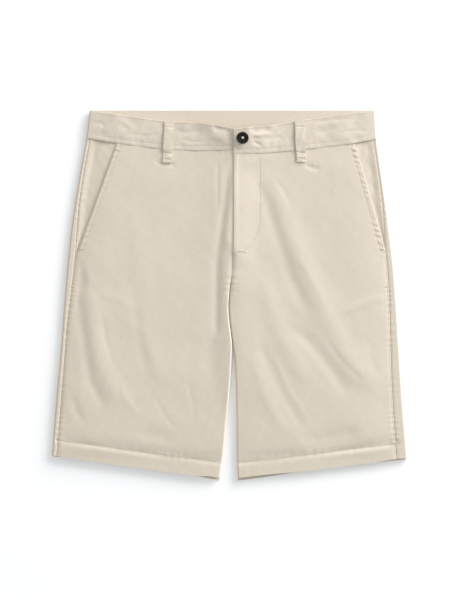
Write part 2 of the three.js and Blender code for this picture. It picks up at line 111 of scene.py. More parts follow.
# Outlines of the two halves, the wearer's right at -x
rightSide = dict(
    sign=-1,
    outer=through([(-2, -213.6), (42, -218.8), (91, -227.9), (169, -240.1), (243, -247.9), (354, -256.6),
                   (428, -263.4), (515, -270.2)]),
    inner=through([(30, 0), (205, -0.2), (240, -2.6), (265, -5.4), (291, -7.2), (317, -5.4), (347, -2.2),
                   (393, -4.2), (428, -7), (465, -10.8), (502, -14.4), (547, -20.8)]),
    inset=through([(40, 5), (132, 6.5), (210, 10), (260, 9.5), (325, 6.5), (430, 7.5), (515, 7)]),
    slantTop=(-174.5, 48.5), slantEnd=(-232.5, 211),
    hemOuter=512.8, hemInner=547.5,
    # the back hem showing below the front's, at its share of the way from the inner edge
    peek=[(0, 3.3), (0.06, 3.1), (0.11, 1.2), (0.14, 0), (0.93, 0), (1, 2.4)],
    # how far the leg sinks towards the hem's stitching, at x
    sink=[(-256, 0.5), (-205, 0.5), (-177, 0.9), (-115, 0.95), (-85, 0.35), (-20, 0.45)],
    rough=0.28,                              # the pocket edge's puckers
    waist=through([(-220, 41.4), (-175, 48.6), (-131, 54.8), (-87, 58.8), (-42, 60.2), (0, 59.2),
                   (40, 58.6)]),
    brim=through([(-213, 0.4), (-186, 3.8), (-131, 11.6), (-90, 16.3), (-57, 17.6), (-27, 21.8), (0, 27.4),
                  (40, 29)]),
)
leftSide = dict(
    sign=1,
    outer=through([(-2, 209.8), (42, 212.8), (95, 220.5), (169, 230.6), (243, 239), (354, 246.4),
                   (428, 251), (519, 258.6)]),
    inner=through([(30, 0), (205, -0.2), (240, -2.6), (265, -5.4), (291, -7.2), (317, -5.2), (347, -1.2),
                   (372, 1.6), (393, 2.6), (428, 3.8), (465, 4.5), (502, 4.6), (547, 6.3)]),
    inset=through([(40, 5), (132, 5.5), (210, 9.5), (260, 10), (330, 12), (391, 14), (519, 16)]),
    slantTop=(181, 50.5), slantEnd=(226.5, 211),
    hemOuter=516.8, hemInner=548.2,
    peek=[(0, 3.3), (0.15, 3.0), (0.27, 1.6), (0.36, 0), (0.8, 0), (0.88, 1.3), (1, 2.2)],
    sink=[(6, 0.35), (54, 0.5), (110, 0.9), (143, 1.25), (205, 1.25), (240, 0.7)],
    rough=0.54,
    waist=through([(0, 64.8), (46, 63.8), (90, 60), (128, 55.6), (172, 50.3), (199, 45.2), (214, 43)]),
    brim=through([(0, 27.4), (25, 24.6), (54, 22.6), (90, 16), (131, 10), (175, 4), (210, 0.4)]),
)

# Rise of the fronts between their edges, and round the fly, at each distance down
crownAt = through([(40, 1.2), (110, 2.0), (230, 2.1), (330, 1.9), (430, 1.8), (500, 1.5), (519, 0.4),
                   (560, 0.3)])
flyRiseAt = through([(40, 1.6), (120, 2.2), (200, 2.9), (290, 3.2), (350, 2.6), (430, 1.2), (500, 0.1),
                     (560, 0)])

# Folds and creases of the fronts: rise in mm (a trough where negative), reach across, fade at the ends
folds = [
    # drag lines from the fly down the left leg
    dict(rise=1.2, reach=17, fade=70, path=[(44, 85), (66, 132), (82, 180), (100, 224), (124, 276),
                                            (138, 310), (161, 354), (183, 385), (208, 410), (228, 436)]),
    dict(rise=0.95, reach=15, fade=50, path=[(36, 224), (51, 280), (70, 332), (94, 381), (121, 425)]),
    dict(rise=-0.75, reach=9, fade=34, path=[(30, 92), (50, 140), (68, 195), (86, 250), (112, 305)]),
    dict(rise=-0.8, reach=9, fade=34, path=[(82, 318), (108, 340), (128, 362), (152, 395), (176, 430)]),
    dict(rise=-0.45, reach=7, fade=25, path=[(36, 336), (50, 374), (70, 418), (92, 455), (112, 478)]),
    dict(rise=0.45, reach=9, fade=25, path=[(24, 356), (42, 412), (62, 454), (80, 486)]),
    # beside the fly, on the right
    dict(rise=0.8, reach=7, fade=18, path=[(-1, 84), (-3, 110), (-7, 160), (-11, 210)]),
    dict(rise=-1.2, reach=6, fade=26, path=[(-4, 80), (-9, 110), (-17, 168), (-24, 222), (-25, 282),
                                            (-26, 340)]),
    dict(rise=-0.8, reach=13, fade=70, path=[(-20, 150), (-27, 222), (-30, 282), (-31, 340), (-32, 392),
                                             (-29, 440)]),
    dict(rise=-0.4, reach=3, fade=26, path=[(-23, 68), (-24, 110), (-23, 160)]),
    # the right leg
    dict(rise=1.1, reach=15, fade=55, path=[(-212, 240), (-211, 298), (-206, 347), (-193, 387), (-177, 422),
                                            (-150, 452)]),
    dict(rise=-0.8, reach=8, fade=26, path=[(-232, 240), (-231, 282), (-222, 341), (-213, 400), (-190, 445)]),
    dict(rise=0.6, reach=15, fade=50, path=[(-146, 296), (-138, 325), (-121, 366), (-106, 398), (-96, 420)]),
    dict(rise=-0.45, reach=8, fade=30, path=[(-148, 262), (-146, 300), (-138, 350), (-128, 396)]),
    dict(rise=-0.5, reach=6, fade=18, path=[(-243, 418), (-233, 446), (-220, 470)]),
    dict(rise=0.35, reach=14, fade=45, path=[(-150, 140), (-143, 208), (-130, 270), (-122, 300)]),
    dict(rise=-0.45, reach=6, fade=14, path=[(-229, 222), (-224, 258), (-223, 276)]),
    dict(rise=0.3, reach=6, fade=14, path=[(-220, 224), (-213, 262)]),
    # above the hems
    dict(rise=-1.0, reach=11, fade=30, path=[(96, 494), (136, 488), (196, 476)]),
    dict(rise=-0.55, reach=10, fade=26, path=[(-150, 478), (-112, 484), (-80, 492)]),
    # fine drag lines
    dict(rise=0.22, reach=5, fade=26, path=[(92, 210), (120, 262), (142, 300)]),
    dict(rise=-0.25, reach=4, fade=22, path=[(134, 336), (160, 372), (196, 408)]),
    dict(rise=0.22, reach=4, fade=24, path=[(58, 360), (80, 412), (106, 452)]),
    dict(rise=-0.25, reach=4, fade=22, path=[(-196, 300), (-189, 344), (-176, 384)]),
    dict(rise=0.25, reach=5, fade=24, path=[(-172, 400), (-158, 430), (-134, 462)]),
    dict(rise=-0.22, reach=4, fade=20, path=[(-118, 420), (-104, 452), (-82, 478)]),
    dict(rise=-0.22, reach=4, fade=20, path=[(-70, 392), (-62, 430), (-58, 462)]),
    dict(rise=-0.25, reach=4, fade=18, path=[(58, 96), (76, 122), (88, 150)]),
    dict(rise=-0.2, reach=5, fade=22, path=[(196, 330), (206, 368), (214, 404)]),
    # pocket bags pressing through
    dict(rise=0.25, reach=7, fade=40, path=[(-212, 266), (-170, 281), (-124, 299)]),
    dict(rise=0.45, reach=6, fade=44, path=[(142, 308), (182, 291), (206, 282), (246, 272)]),
    # below the waistband and its loops
    dict(rise=-0.7, reach=4, fade=10, path=[(2, 67), (46, 66)]),
    dict(rise=-0.7, reach=3.5, fade=8, path=[(-119, 74), (-102, 80), (-84, 81)]),
    dict(rise=-0.7, reach=3.5, fade=8, path=[(104, 80), (118, 86), (130, 87)]),
]


# Sum of the folds' heights at x, down
def foldsAt(x, down, rows):
    total = np.zeros_like(x)
    for f in rows:
        path = np.array(f["path"], float)
        best = np.full(x.shape, 1e9)
        along = np.zeros_like(x)
        run = 0
        for a, b in zip(path[:-1], path[1:]):
            step = b - a
            length = math.hypot(*step)
            t = clamp(((x - a[0]) * step[0] + (down - a[1]) * step[1]) / length ** 2)
            far = np.hypot(x - a[0] - t * step[0], down - a[1] - t * step[1])
            nearer = far < best
            best = np.where(nearer, far, best)
            along = np.where(nearer, run + t * length, along)
            run += length
        ends = ease(along / f["fade"]) * ease((run - along) / f["fade"])
        total += f["rise"] * ends * bump(best, f["reach"])
    return total


# Smooth noise: a few random waves, the same each run
def waves(seed, count, shortest, longest):
    dice = np.random.default_rng(seed)
    size = dice.uniform(shortest, longest, count)
    turn = dice.uniform(0, math.tau, count)
    start = dice.uniform(0, math.tau, count)

    def at(x, down):
        total = np.zeros(np.broadcast(x, down).shape)
        for s, a, p in zip(size, turn, start):
            total += np.sin((x * math.cos(a) + down * math.sin(a)) * math.tau / s + p)
        return total / math.sqrt(count)
    return at


softWaves = waves(3, 9, 55, 150)
smallWaves = waves(5, 12, 14, 34)


# Puckers beside a line of stitching: short ripples that die away from it
def pucker(distance, along, depth, reach, pitch, seed):
    dice = np.random.default_rng(seed)
    phase = along * math.tau / pitch + 1.9 * np.sin(along / (pitch * 1.7) + dice.uniform(0, 6))
    phase = phase + 1.1 * np.sin(along / (pitch * 0.63) + dice.uniform(0, 6))
    strength = 0.5 + 0.3 * np.sin(along / (pitch * 2.9) + dice.uniform(0, 6))
    strength = strength + 0.25 * np.sin(along / (pitch * 1.13) + dice.uniform(0, 6))
    return depth * strength * np.sin(phase) * bump(distance, reach)


# The puckers of each sewn edge; the slanted pocket edge takes its depth from its side
puckers = dict(
    slant=dict(reach=4.2, pitch=8.4, seed=33),
    side=dict(depth=0.24, reach=7, pitch=9, seed=44),
    strip=dict(depth=0.24, reach=6, pitch=9, seed=44),
    facing=dict(depth=0.2, reach=5, pitch=8, seed=44),
    hem=dict(depth=0.13, reach=7, pitch=13, seed=21),
    waist=dict(depth=0.14, reach=8, pitch=13, seed=51),
    fly=dict(depth=0.09, reach=6, pitch=11, seed=61),
    centre=dict(depth=0.25, reach=9, pitch=10, seed=71),
    band=dict(depth=0.1, reach=6, pitch=11, seed=81),
)


def slantX(side, down):
    (x0, d0), (x1, d1) = side["slantTop"], side["slantEnd"]
    return lerp(x0, x1, (down - d0) / (d1 - d0))


def edgeInset(side, down):
    return np.maximum(side["inset"](down), side["sign"] * (side["outer"](down) - slantX(side, down)))


# 0 where the two fronts meet, 1 where the legs have parted
def parted(down):
    return ease((down - cloth["crotch"] + 25) / 55)


def fromSeam(side, x, down):
    return np.abs(x - side["outer"](down)) - side["inset"](down)


def fromInner(side, x, down):
    return np.maximum(0, side["sign"] * (x - side["inner"](down)))


hill = dict(reach=62, power=2.4, flyReach=36, innerHeld=0.8, lapEase=32)


# Height of the front's underside, its broad form only
def frontForm(side, x, down):
    def rises(gap):
        return 1 - (1 - clamp(gap / hill["reach"])) ** hill["power"]
    held = hill["innerHeld"] if side["sign"] < 0 else 0
    inner = lerp(held, 1, rises(fromInner(side, x, down)))
    bulge = rises(fromSeam(side, x, down)) * lerp(1, inner, parted(down))
    flyHill = flyRiseAt(down) * bump(x, hill["flyReach"])
    lapEnd = 1 - ease((down - fly["end"] - 4) / 24)
    hold = lerp(band["underlap"] + 1, fly["under"], ease((down - 66) / 30))
    lap = fly["lift"] * (1 - ease((x - hold) / hill["lapEase"])) * lapEnd if side["sign"] > 0 else 0
    return cloth["foldTop"] - cloth["ply"] + crownAt(down) * bulge + flyHill + lap


# How much of the back hem shows below the front's
def peek(side, share):
    places, amounts = zip(*side["peek"])
    return np.interp(share, places, amounts)


def hemLine(side, x):
    share = (x - side["outer"](520)) / (side["inner"](530) - side["outer"](520))
    return lerp(side["hemOuter"], side["hemInner"], clamp(share)) - cloth["hemDepth"]


# The hem: the narrow groove at its stitching, the broad sink above it, then the twist of its turned ply
hemSize = dict(narrow=3.2, above=11, below=4.5, sink=1.25, rope=0.05, ropePitch=11, ropeEnd=18)


# Height added at the hem: the leg sinks to its stitching, then the hem stands up by its turned ply
def hemWork(side, x, hem, toSeam):
    places, depths = zip(*side["sink"])
    drop = 0.2 + 0.22 * np.sin(x / 31 + 2) + 0.16 * np.sin(x / 12.3)
    narrow = drop * bump(hem + 0.5, hemSize["narrow"])
    broad = hemSize["sink"] * np.interp(x, places, depths)
    broad = broad * bump(hem, np.where(hem < 0, hemSize["above"], hemSize["below"]))
    turns = (x + 0.9 * hem) * math.tau / hemSize["ropePitch"]
    twist = np.sin(turns + 1.6 * np.sin(x / 19)) * (0.5 + 0.5 * np.sin(x / 27))
    rope = hemSize["rope"] * twist * ease(hem / 4) * (1 - ease((hem - hemSize["ropeEnd"]) / 8))
    return pucker(np.abs(hem + 1), x, **puckers["hem"]) + rope - (narrow + broad) * ease(toSeam / 10)


# Insets from the slanted pocket edge of its two rows of stitching, and from the side seam of its one
slantSize = dict(outerRow=1.9, innerRow=7.4, middle=4.4, roll=4.2, top=48, end=214)
sideStitchIn = 2.0


# Height added along the slanted pocket edge: puckers, the inner stitching's groove and the edge's roll
def slantWork(side, x, down):
    slant = side["sign"] * (slantX(side, down) - x)
    work = pucker(np.abs(slant - slantSize["middle"]), down + 0.25 * slant, side["rough"], **puckers["slant"])
    work = work - 0.2 * bump(slant - slantSize["innerRow"], 1.5) + 0.14 * bump(slant - slantSize["roll"], 2.6)
    return work * ease((down - slantSize["top"]) / 8) * ease((slantSize["end"] - down) / 8)


# The curved stitching inside the fly
def flyCurve(down):
    past = np.maximum(down, fly["curveFrom"]) - fly["curveFrom"]
    return fly["stitchIn"] * np.sqrt(clamp(1 - (past / fly["curveOver"]) ** 2))


# Height added at the fly: its edge's roll and the curved stitching
def flyWork(x, down):
    toCurve = x - flyCurve(down)
    work = 0.4 * bump(x - 3.5, 3.2) - 0.06 * bump(toCurve, 2.4)
    work = work + pucker(np.abs(toCurve), down, **puckers["fly"])
    return work * (1 - ease((down - fly["end"]) / 6))


# The front's underside with folds, puckers and the hem's step
def frontUnder(side, x, down):
    toSeam = fromSeam(side, x, down)
    toInner = fromInner(side, x, down)
    soft = ease(toSeam / 14) * lerp(1, ease(toInner / 11), parted(down))
    hem = down - hemLine(side, x)
    waistFade = ease((down - 62) / 24) * ease(-hem / 12)
    z = frontForm(side, x, down) + foldsAt(x, down, folds) * soft * waistFade
    z = z + 0.17 * softWaves(x, down) * soft * waistFade + 0.035 * smallWaves(x, down) * soft
    # the right leg's inner edge stands up a little
    if side["sign"] < 0:
        stands = ease((down - 270) / 60) * (1 - ease((down - 410) / 60))
        z = z + 0.75 * bump(toInner + 4, 14) * stands
    z = z + hemWork(side, x, hem, toSeam) + slantWork(side, x, down)
    # side seam under the pocket
    underPocket = ease((down - 208) / 8)
    groove = 0.35 * bump(toSeam - sideStitchIn, 1.6)
    z = z + underPocket * (pucker(toSeam, down, **puckers["side"]) - groove)
    # waist seam
    z = z + pucker(down - side["waist"](x), x, **puckers["waist"])
    if side["sign"] > 0:
        z = z + flyWork(x, down)
    # centre seam from the fly to the crotch
    seamOn = ease((down - fly["end"] + 4) / 10) * (1 - ease((down - cloth["crotch"]) / 18))
    z = z + (pucker(toInner, down, **puckers["centre"]) - 0.9 * bump(toInner, 3.2)) * seamOn
    # the front never sinks into the back below it
    bed = cloth["ply"] + cloth["hemPly"] * ease((down - 480) / 20) + cloth["clear"]
    return (z + bed + np.hypot(z - bed, 0.6)) / 2


def backUnder(down):
    return band["floor"] * (1 - ease((down - 62) / 18))


print("forms ready")


# Points (rows, columns, 3) in mm as x, down, z become metres in the part's frame
def place(points):
    p = np.array(points, float)
    return np.stack([p[..., 0] + middleX, topY - p[..., 1], p[..., 2]], axis=-1) * mm


def linked(name, mesh):
    piece = bpy.data.objects.new(name, mesh)
    bpy.context.scene.collection.objects.link(piece)
    return piece


# A closed wall between two grids of points
def wallMesh(name, outside, inside):
    rows, cols = outside.shape[:2]
    verts = np.concatenate([place(outside).reshape(-1, 3), place(inside).reshape(-1, 3)])
    grid = np.arange(rows * cols).reshape(rows, cols)
    a, b, c, d = grid[:-1, :-1], grid[:-1, 1:], grid[1:, 1:], grid[1:, :-1]
    top = np.stack([a, b, c, d], -1).reshape(-1, 4)
    low = np.stack([d, c, b, a], -1).reshape(-1, 4) + rows * cols
    loop = np.concatenate([grid[0, :], grid[1:, -1], grid[-1, -2::-1], grid[-2:0:-1, 0]])
    nextOne = np.roll(loop, -1)
    rim = np.stack([nextOne, loop, loop + rows * cols, nextOne + rows * cols], -1)
    faces = np.concatenate([top, low, rim])
    p = verts[faces[:, :3]]
    cross = np.cross(p[:, 1] - p[:, 0], verts[faces[:, 3]] - p[:, 0])
    if np.einsum("ij,ij->i", p[:, 0], cross).sum() < 0:
        faces = faces[:, ::-1]
    return meshObject(name, verts, faces)


def meshObject(name, verts, faces):
    mesh = bpy.data.meshes.new(name)
    mesh.from_pydata(verts.tolist(), [], faces.tolist())
    mesh.validate()
    mesh.shade_smooth()
    mesh.set_sharp_from_angle(angle=math.radians(48))
    return linked(name, mesh)


# x and down at a share across from the side fold to the inner edge and a fall from waist to hem,
# then the width there
def plan(side, across, fall):
    waistOut = side["waist"](side["outer"](42))
    waistIn = side["waist"](0.0)
    downOut = lerp(waistOut, side["hemOuter"], fall)
    downIn = lerp(waistIn, side["hemInner"], fall)
    x = lerp(side["outer"](downOut), side["inner"](downIn), across)
    bow = (side["waist"](x) - lerp(waistOut, waistIn, across)) * (1 - fall) ** 3
    return x, lerp(downOut, downIn, across) + bow, np.abs(side["inner"](downIn) - side["outer"](downOut))


frontGrid = dict(fall=250, hemFrom=0.93, hemRows=34, across=138, roll=9)


def frontPiece(name, side):
    sign = side["sign"]
    hemFrom = frontGrid["hemFrom"]
    tucked = np.array([-0.012, -0.006, -0.0012])   # the seam allowance below the waistband
    leg = np.linspace(0, hemFrom, frontGrid["fall"], endpoint=False)
    fall = np.concatenate([tucked, leg, np.linspace(hemFrom, 1, frontGrid["hemRows"])])[:, None]
    start = np.zeros_like(fall)
    for _ in range(14):
        _, down, width = plan(side, start, fall)
        start = (edgeInset(side, down) + cloth["gap"] / 2) / width
    innerX, innerDown, _ = plan(side, np.ones_like(fall), fall)
    turn = parted(innerDown)
    under = fly["under"] * (1 - ease((innerDown - fly["end"] + 8) / 7)) if sign < 0 else 0 * fall
    radius = cloth["innerRoll"]
    stop = 1 - radius / width
    across = np.linspace(0, 1, frontGrid["across"])[None, :]
    nearHem = ease((fall - hemFrom) / (1 - hemFrom))
    share = lerp(start, stop, across)
    flatX, flatDown, _ = plan(side, share, fall)
    flatDown = flatDown - 0.7 * peek(side, 1 - share) * nearHem
    innerDown = innerDown - 0.7 * peek(side, 0) * nearHem
    # a rolled cut edge at the pocket opening and the side seam
    lip = 0.45 * bump(across * (stop - start) * width, 1.2)
    flatZ = frontUnder(side, flatX, flatDown) - lip
    # the inner edge: level up to the fly, rolled down on the legs
    t = np.linspace(0, 1, frontGrid["roll"])[None, 1:]
    rollX = lerp(flatX[:, -1:], innerX + sign * cloth["gap"] / 2, t) + under * t
    rollDown = lerp(flatDown[:, -1:], innerDown, t)
    rollZ = frontUnder(side, rollX, rollDown)
    angle = t * math.pi / 2
    ringX = innerX + sign * (cloth["gap"] / 2 + radius) - sign * radius * np.sin(angle)
    foot = cloth["ply"] + cloth["clear"] + cloth["hemPly"] * ease((innerDown - 520) / 8)
    ringZ = lerp(flatZ[:, -1:], foot, 1 - np.cos(angle))
    rollX = lerp(rollX, ringX, turn)
    rollZ = lerp(rollZ, ringZ, turn)
    gridX = np.concatenate([flatX, rollX], 1)
    gridDown = np.concatenate([flatDown, np.broadcast_to(rollDown, rollX.shape)], 1)
    gridZ = np.concatenate([flatZ, rollZ], 1)
    gridZ[:len(tucked)] -= 2.0
    outside = np.stack([gridX, gridDown, gridZ + cloth["ply"]], -1)
    return wallMesh(name, outside, shelled(outside, cloth["ply"]))


# The inner skin: each point moved in along the surface's own normal
def shelled(outside, thick):
    du = np.gradient(outside, axis=1)
    dv = np.gradient(outside, axis=0)
    normal = np.cross(du, dv)
    normal /= np.linalg.norm(normal, axis=-1, keepdims=True) + 1e-9
    towards = np.sign(normal[outside.shape[0] // 2, outside.shape[1] // 2, 2])
    return outside - normal * thick * towards


backGrid = dict(fall=250, hemFrom=0.93, hemRows=30, across=40, arc=15, strip=10)


# From the centre back under the leg, round the side fold and up to the seam on the front
def backPiece(name, side):
    sign = side["sign"]
    hemFrom = backGrid["hemFrom"]
    leg = np.linspace(0, hemFrom, backGrid["fall"], endpoint=False)
    fall = np.concatenate([leg, np.linspace(hemFrom, 1, backGrid["hemRows"])])[:, None]
    top = band["height"] + cloth["gap"] / 2
    downOut = lerp(top + 1.4, side["hemOuter"] + 0.2, fall)
    downIn = lerp(top, side["hemInner"] + 0.2, fall)
    outerX = side["outer"](downOut)
    innerX = side["inner"](downIn) + sign * cloth["gap"] / 2
    low = backUnder(downOut)
    radius = (cloth["foldTop"] - low) / 2
    t = np.linspace(0, 1, backGrid["across"])[None, :]
    x = lerp(innerX, outerX - sign * radius, t)
    across = clamp((x - innerX) / (outerX - innerX))
    nearHem = ease((fall - hemFrom) / (1 - hemFrom))
    down = lerp(downIn, downOut, across) + 0.5 * peek(side, across) * nearHem
    hem = down - (lerp(side["hemInner"], side["hemOuter"], t) - cloth["hemDepth"])
    z = lerp(backUnder(down), low, t ** 4) + 0.12 * ease(1 - np.abs(hem) / 3)
    flat = np.stack([x, down, z], -1)
    seamX = outerX - sign * (side["inset"](downOut) - cloth["gap"] / 2)
    seamTop = side["waist"](seamX) + cloth["gap"] / 2 + 0.1

    # down along the fold at a share of the way round it
    def roundFold(share):
        return lerp(lerp(top + 1.4, seamTop, share), side["hemOuter"] + lerp(0.8, 0.2, share), fall)
    t = np.linspace(0, 1, backGrid["arc"])[None, 1:]
    angle = -math.pi / 2 + t * math.pi
    ripple = 1 + 0.035 * np.sin(downOut / 9 + 1.2 * np.sin(downOut / 31)) * ease((downOut - 150) / 60)
    arcX = outerX + sign * (radius * np.cos(angle) * ripple - radius)
    arcZ = low + radius + radius * np.sin(angle)
    arc = np.stack([arcX, roundFold(t), arcZ], -1)
    t = np.linspace(0, 1, backGrid["strip"])[None, 1:]
    stripX = lerp(outerX - sign * radius, seamX, t)
    stripDown = np.broadcast_to(roundFold(1), stripX.shape)
    toSeam = np.abs(stripX - seamX)
    toHem = stripDown - (side["hemOuter"] - cloth["hemDepth"])
    stripZ = cloth["foldTop"] + pucker(toSeam, stripDown, **puckers["strip"]) * ease((stripDown - 60) / 20)
    stripZ = stripZ - 0.45 * bump(toSeam, 1.3) - 0.9 * bump(toHem, 4) * ease(1 - toSeam / 9)
    strip = np.stack([stripX, stripDown, np.broadcast_to(stripZ, stripX.shape)], -1)
    # the seam allowance tucked below the front
    tuckX = seamX - sign * np.array([0.1, 1.2, 3.0])[None, :]
    tuckZ = np.full(tuckX.shape, cloth["foldTop"] - cloth["ply"] - 0.5)
    tuck = np.stack([tuckX, np.broadcast_to(roundFold(1), tuckX.shape), tuckZ], -1)
    outside = np.concatenate([flat, arc, strip, tuck], 1)
    inside = shelled(outside, -cloth["ply"])
    level = backGrid["across"]
    inside[:, :level] = outside[:, :level] + [0, 0, cloth["ply"]]
    return wallMesh(name, outside, inside)


facingSize = dict(fall=0.359, rows=120, across=44, thick=0.9, reachTop=25, reachEnd=11)


# What shows of the pocket's facing, run on below the front's edge by its reach
def facingPiece(name, side):
    size = facingSize
    fall = np.linspace(0, size["fall"], size["rows"])[:, None]
    t = np.linspace(0, 1, size["across"])[None, :]
    across = np.zeros((size["rows"], size["across"]))
    reach = lerp(size["reachTop"], size["reachEnd"], fall / size["fall"])
    for _ in range(14):
        x, down, width = plan(side, across, np.broadcast_to(fall, across.shape))
        start = side["inset"](down) + cloth["gap"]
        end = edgeInset(side, down) + reach
        across = lerp(start, end, t) / width
    toSeam = fromSeam(side, x, down)
    room = edgeInset(side, down) - side["inset"](down)
    sink = ease(toSeam / np.clip(0.85 * room, 2.5, 12))
    z = frontForm(side, x, down) - sink * (cloth["ply"] + lerp(0.4, 0.9, ease((down - 60) / 40)))
    z = z + 0.14 * smallWaves(x * 1.3, down) * sink + pucker(toSeam, down, **puckers["facing"])
    z = z - 0.3 * bump(toSeam, 1.4)
    outside = np.stack([x, down, z + cloth["ply"]], -1)
    return wallMesh(name, outside, shelled(outside, size["thick"]))


# Waistband creases in front: rise, reach, fade, path in x, down
bandCreases = [
    dict(rise=-0.8, reach=4, fade=10, path=[(-210, 20), (-199, 19), (-187, 25)]),
    dict(rise=-0.5, reach=4, fade=8, path=[(-172, 20), (-152, 30)]),
    dict(rise=-0.6, reach=4, fade=10, path=[(-211, 36), (-186, 34)]),
    dict(rise=-1.5, reach=6, fade=12, path=[(20, 30), (36, 29), (56, 26)]),      # hollow beside the button
    dict(rise=-0.8, reach=2.6, fade=8, path=[(25, 42), (41, 41)]),
    dict(rise=-0.8, reach=2.4, fade=6, path=[(27, 45), (35, 50), (44, 53)]),
    dict(rise=-0.6, reach=3, fade=9, path=[(44, 43), (58, 42), (74, 38)]),
    dict(rise=0.9, reach=3, fade=10, path=[(26, 39), (44, 36.5), (58, 33)]),
    dict(rise=-2.4, reach=6, fade=10, path=[(-34, 24), (-16, 27), (-1, 31)]),    # shade before the front edge
    dict(rise=0.6, reach=5, fade=12, path=[(-44, 38), (-20, 42), (-4, 46)]),
    dict(rise=-0.6, reach=4, fade=9, path=[(-86, 31), (-66, 33), (-46, 30)]),
    dict(rise=-0.5, reach=4, fade=12, path=[(118, 34), (138, 31), (160, 24)]),
    dict(rise=0.4, reach=4, fade=12, path=[(112, 25), (134, 21), (158, 16)]),
    dict(rise=-0.3, reach=2.2, fade=16, path=[(116, 20), (148, 14), (190, 12)]),
    dict(rise=-0.3, reach=2.2, fade=14, path=[(150, 36), (176, 30), (204, 30)]),
    dict(rise=-0.3, reach=2.4, fade=14, path=[(-160, 34), (-130, 38), (-108, 36)]),
    dict(rise=-0.35, reach=2.2, fade=12, path=[(-84, 42), (-60, 47), (-40, 46)]),
]


def bandTop(side, x, share):
    low = side["waist"](x) - cloth["gap"] / 2
    high = side["brim"](x)
    down = lerp(high, low, share)
    tip = band["tip"] * bump(x, band["tipReach"])
    lowered = 0.8 * ease((x + 15) / 15) if side["sign"] < 0 else 0
    base = frontForm(side, x, low + 0.5) - 0.4 - lowered
    return down, base + tip * (1 - share) ** 1.3 + band["thick"]


def bandDetail(side, x, share):
    down, z = bandTop(side, x, share)
    height = side["waist"](x) - side["brim"](x)
    toLow = (1 - share) * height
    toHigh = share * height
    toSeam = toLow - band["seamIn"]
    z = z + 0.8 * foldsAt(x, down, bandCreases)
    z = z - 0.16 * bump(toSeam, 1.3) + pucker(np.abs(toSeam), x, **puckers["band"])
    z = z + 0.1 * smallWaves(x, down * 1.3) + 0.22 * softWaves(x * 2.2, down * 1.5)
    z = z - 0.25 * bump(toHigh, 1.0) - 0.3 * bump(toLow, 1.0)
    return down, z


bandGrid = dict(front=230, fold=26, back=60, across=36)


# One half of the waistband: along the front, round the side fold and back to the centre
def bandPiece(name, side):
    sign = side["sign"]
    frontFrom = band["underlap"] if sign < 0 else cloth["gap"] / 2
    frontTo = side["outer"](20) - sign * 12
    across = np.linspace(0, 1, bandGrid["across"])[None, :]
    x = np.linspace(frontFrom, frontTo, bandGrid["front"])[:, None] + 0 * across
    down, z = bandDetail(side, x, across)
    front = np.stack([x, down, z], -1)
    topZ = cloth["foldTop"] + 0.5
    radius = (topZ - band["floor"]) / 2
    t = np.linspace(0, 1, bandGrid["fold"])[:, None]
    angle = math.pi / 2 - t * math.pi
    edgeX = side["outer"](lerp(0, 42, across))
    high = np.maximum(0, side["brim"](edgeX))
    low = side["waist"](edgeX) - cloth["gap"] / 2
    backDown = lerp(0, band["height"] - cloth["gap"] / 2, across)
    down = lerp(lerp(high, low, across), backDown, t)
    arcX = side["outer"](down) + sign * (radius * np.cos(angle) - radius)
    arcZ = np.broadcast_to(topZ - radius + radius * np.sin(angle), down.shape)
    arc = np.stack([arcX, down, arcZ], -1)
    t = np.linspace(0, 1, bandGrid["back"])[1:, None]
    down = np.broadcast_to(backDown, (len(t), bandGrid["across"]))
    x = lerp(side["outer"](down) - sign * radius, sign * 0.02, t)
    back = np.stack([x, down, np.full(x.shape, band["floor"])], -1)
    outside = np.concatenate([front, arc, back], 0)
    inside = shelled(outside, band["thick"] * 0.9)
    level = len(front) + len(arc)
    inside[level:, :, 2] = band["floor"] + band["thick"]
    inside[level:, :, :2] = outside[level:, :, :2]
    return wallMesh(name, outside, inside)


loopSize = dict(width=13.8, length=61, backLength=57.1, thick=1.0, arch=0.7, clear=0.6)
# Creases across a front loop: rise, its place along the loop, lean across it and reach
loopCreases = [
    dict(rise=-0.35, at=0.15, lean=0.02, reach=0.018),
    dict(rise=-0.4, at=0.78, lean=0.05, reach=0.02),
    dict(rise=0.35, at=0.88, lean=-0.04, reach=0.03),
    dict(rise=-0.35, at=0.93, lean=0.06, reach=0.012),
]


# A loop over the waistband, its crumpled low end sewn to the front
def frontLoopPiece(name, side, at, lean):
    t = np.linspace(0, 1, 90)[:, None]
    across = np.linspace(-0.5, 0.5, 20)[None, :]
    toEdge = np.abs(across)
    x = at + lean * t + across * loopSize["width"] + 0.35 * np.sin(t * 9) * np.ones_like(across)
    down = side["brim"](at) + 0.6 + t * loopSize["length"] + 0 * across
    low = side["waist"](x)
    top = side["brim"](x)
    bandZ = bandTop(side, x, clamp((down - top) / (low - top)))[1]
    frontZ = frontForm(side, x, np.maximum(down, low + 0.5)) + cloth["ply"]
    seat = lerp(bandZ, frontZ, ease((down - low) / 6))
    arch = loopSize["arch"] * np.sin(math.pi * clamp((t - 0.05) / 0.72)) ** 0.8
    z = seat + loopSize["clear"] + arch + loopSize["thick"]
    for crease in loopCreases:
        z = z + crease["rise"] * bump(t - crease["at"] - crease["lean"] * across, crease["reach"])
    z = z - 0.25 * (toEdge * 2) ** 8 - 0.12 * bump(toEdge - 0.33, 0.05)
    z = z + 0.12 * smallWaves(x * 1.6, down * 1.2)
    outside = np.stack([x, down, z], -1)
    return wallMesh(name, outside, outside - [0, 0, loopSize["thick"]])


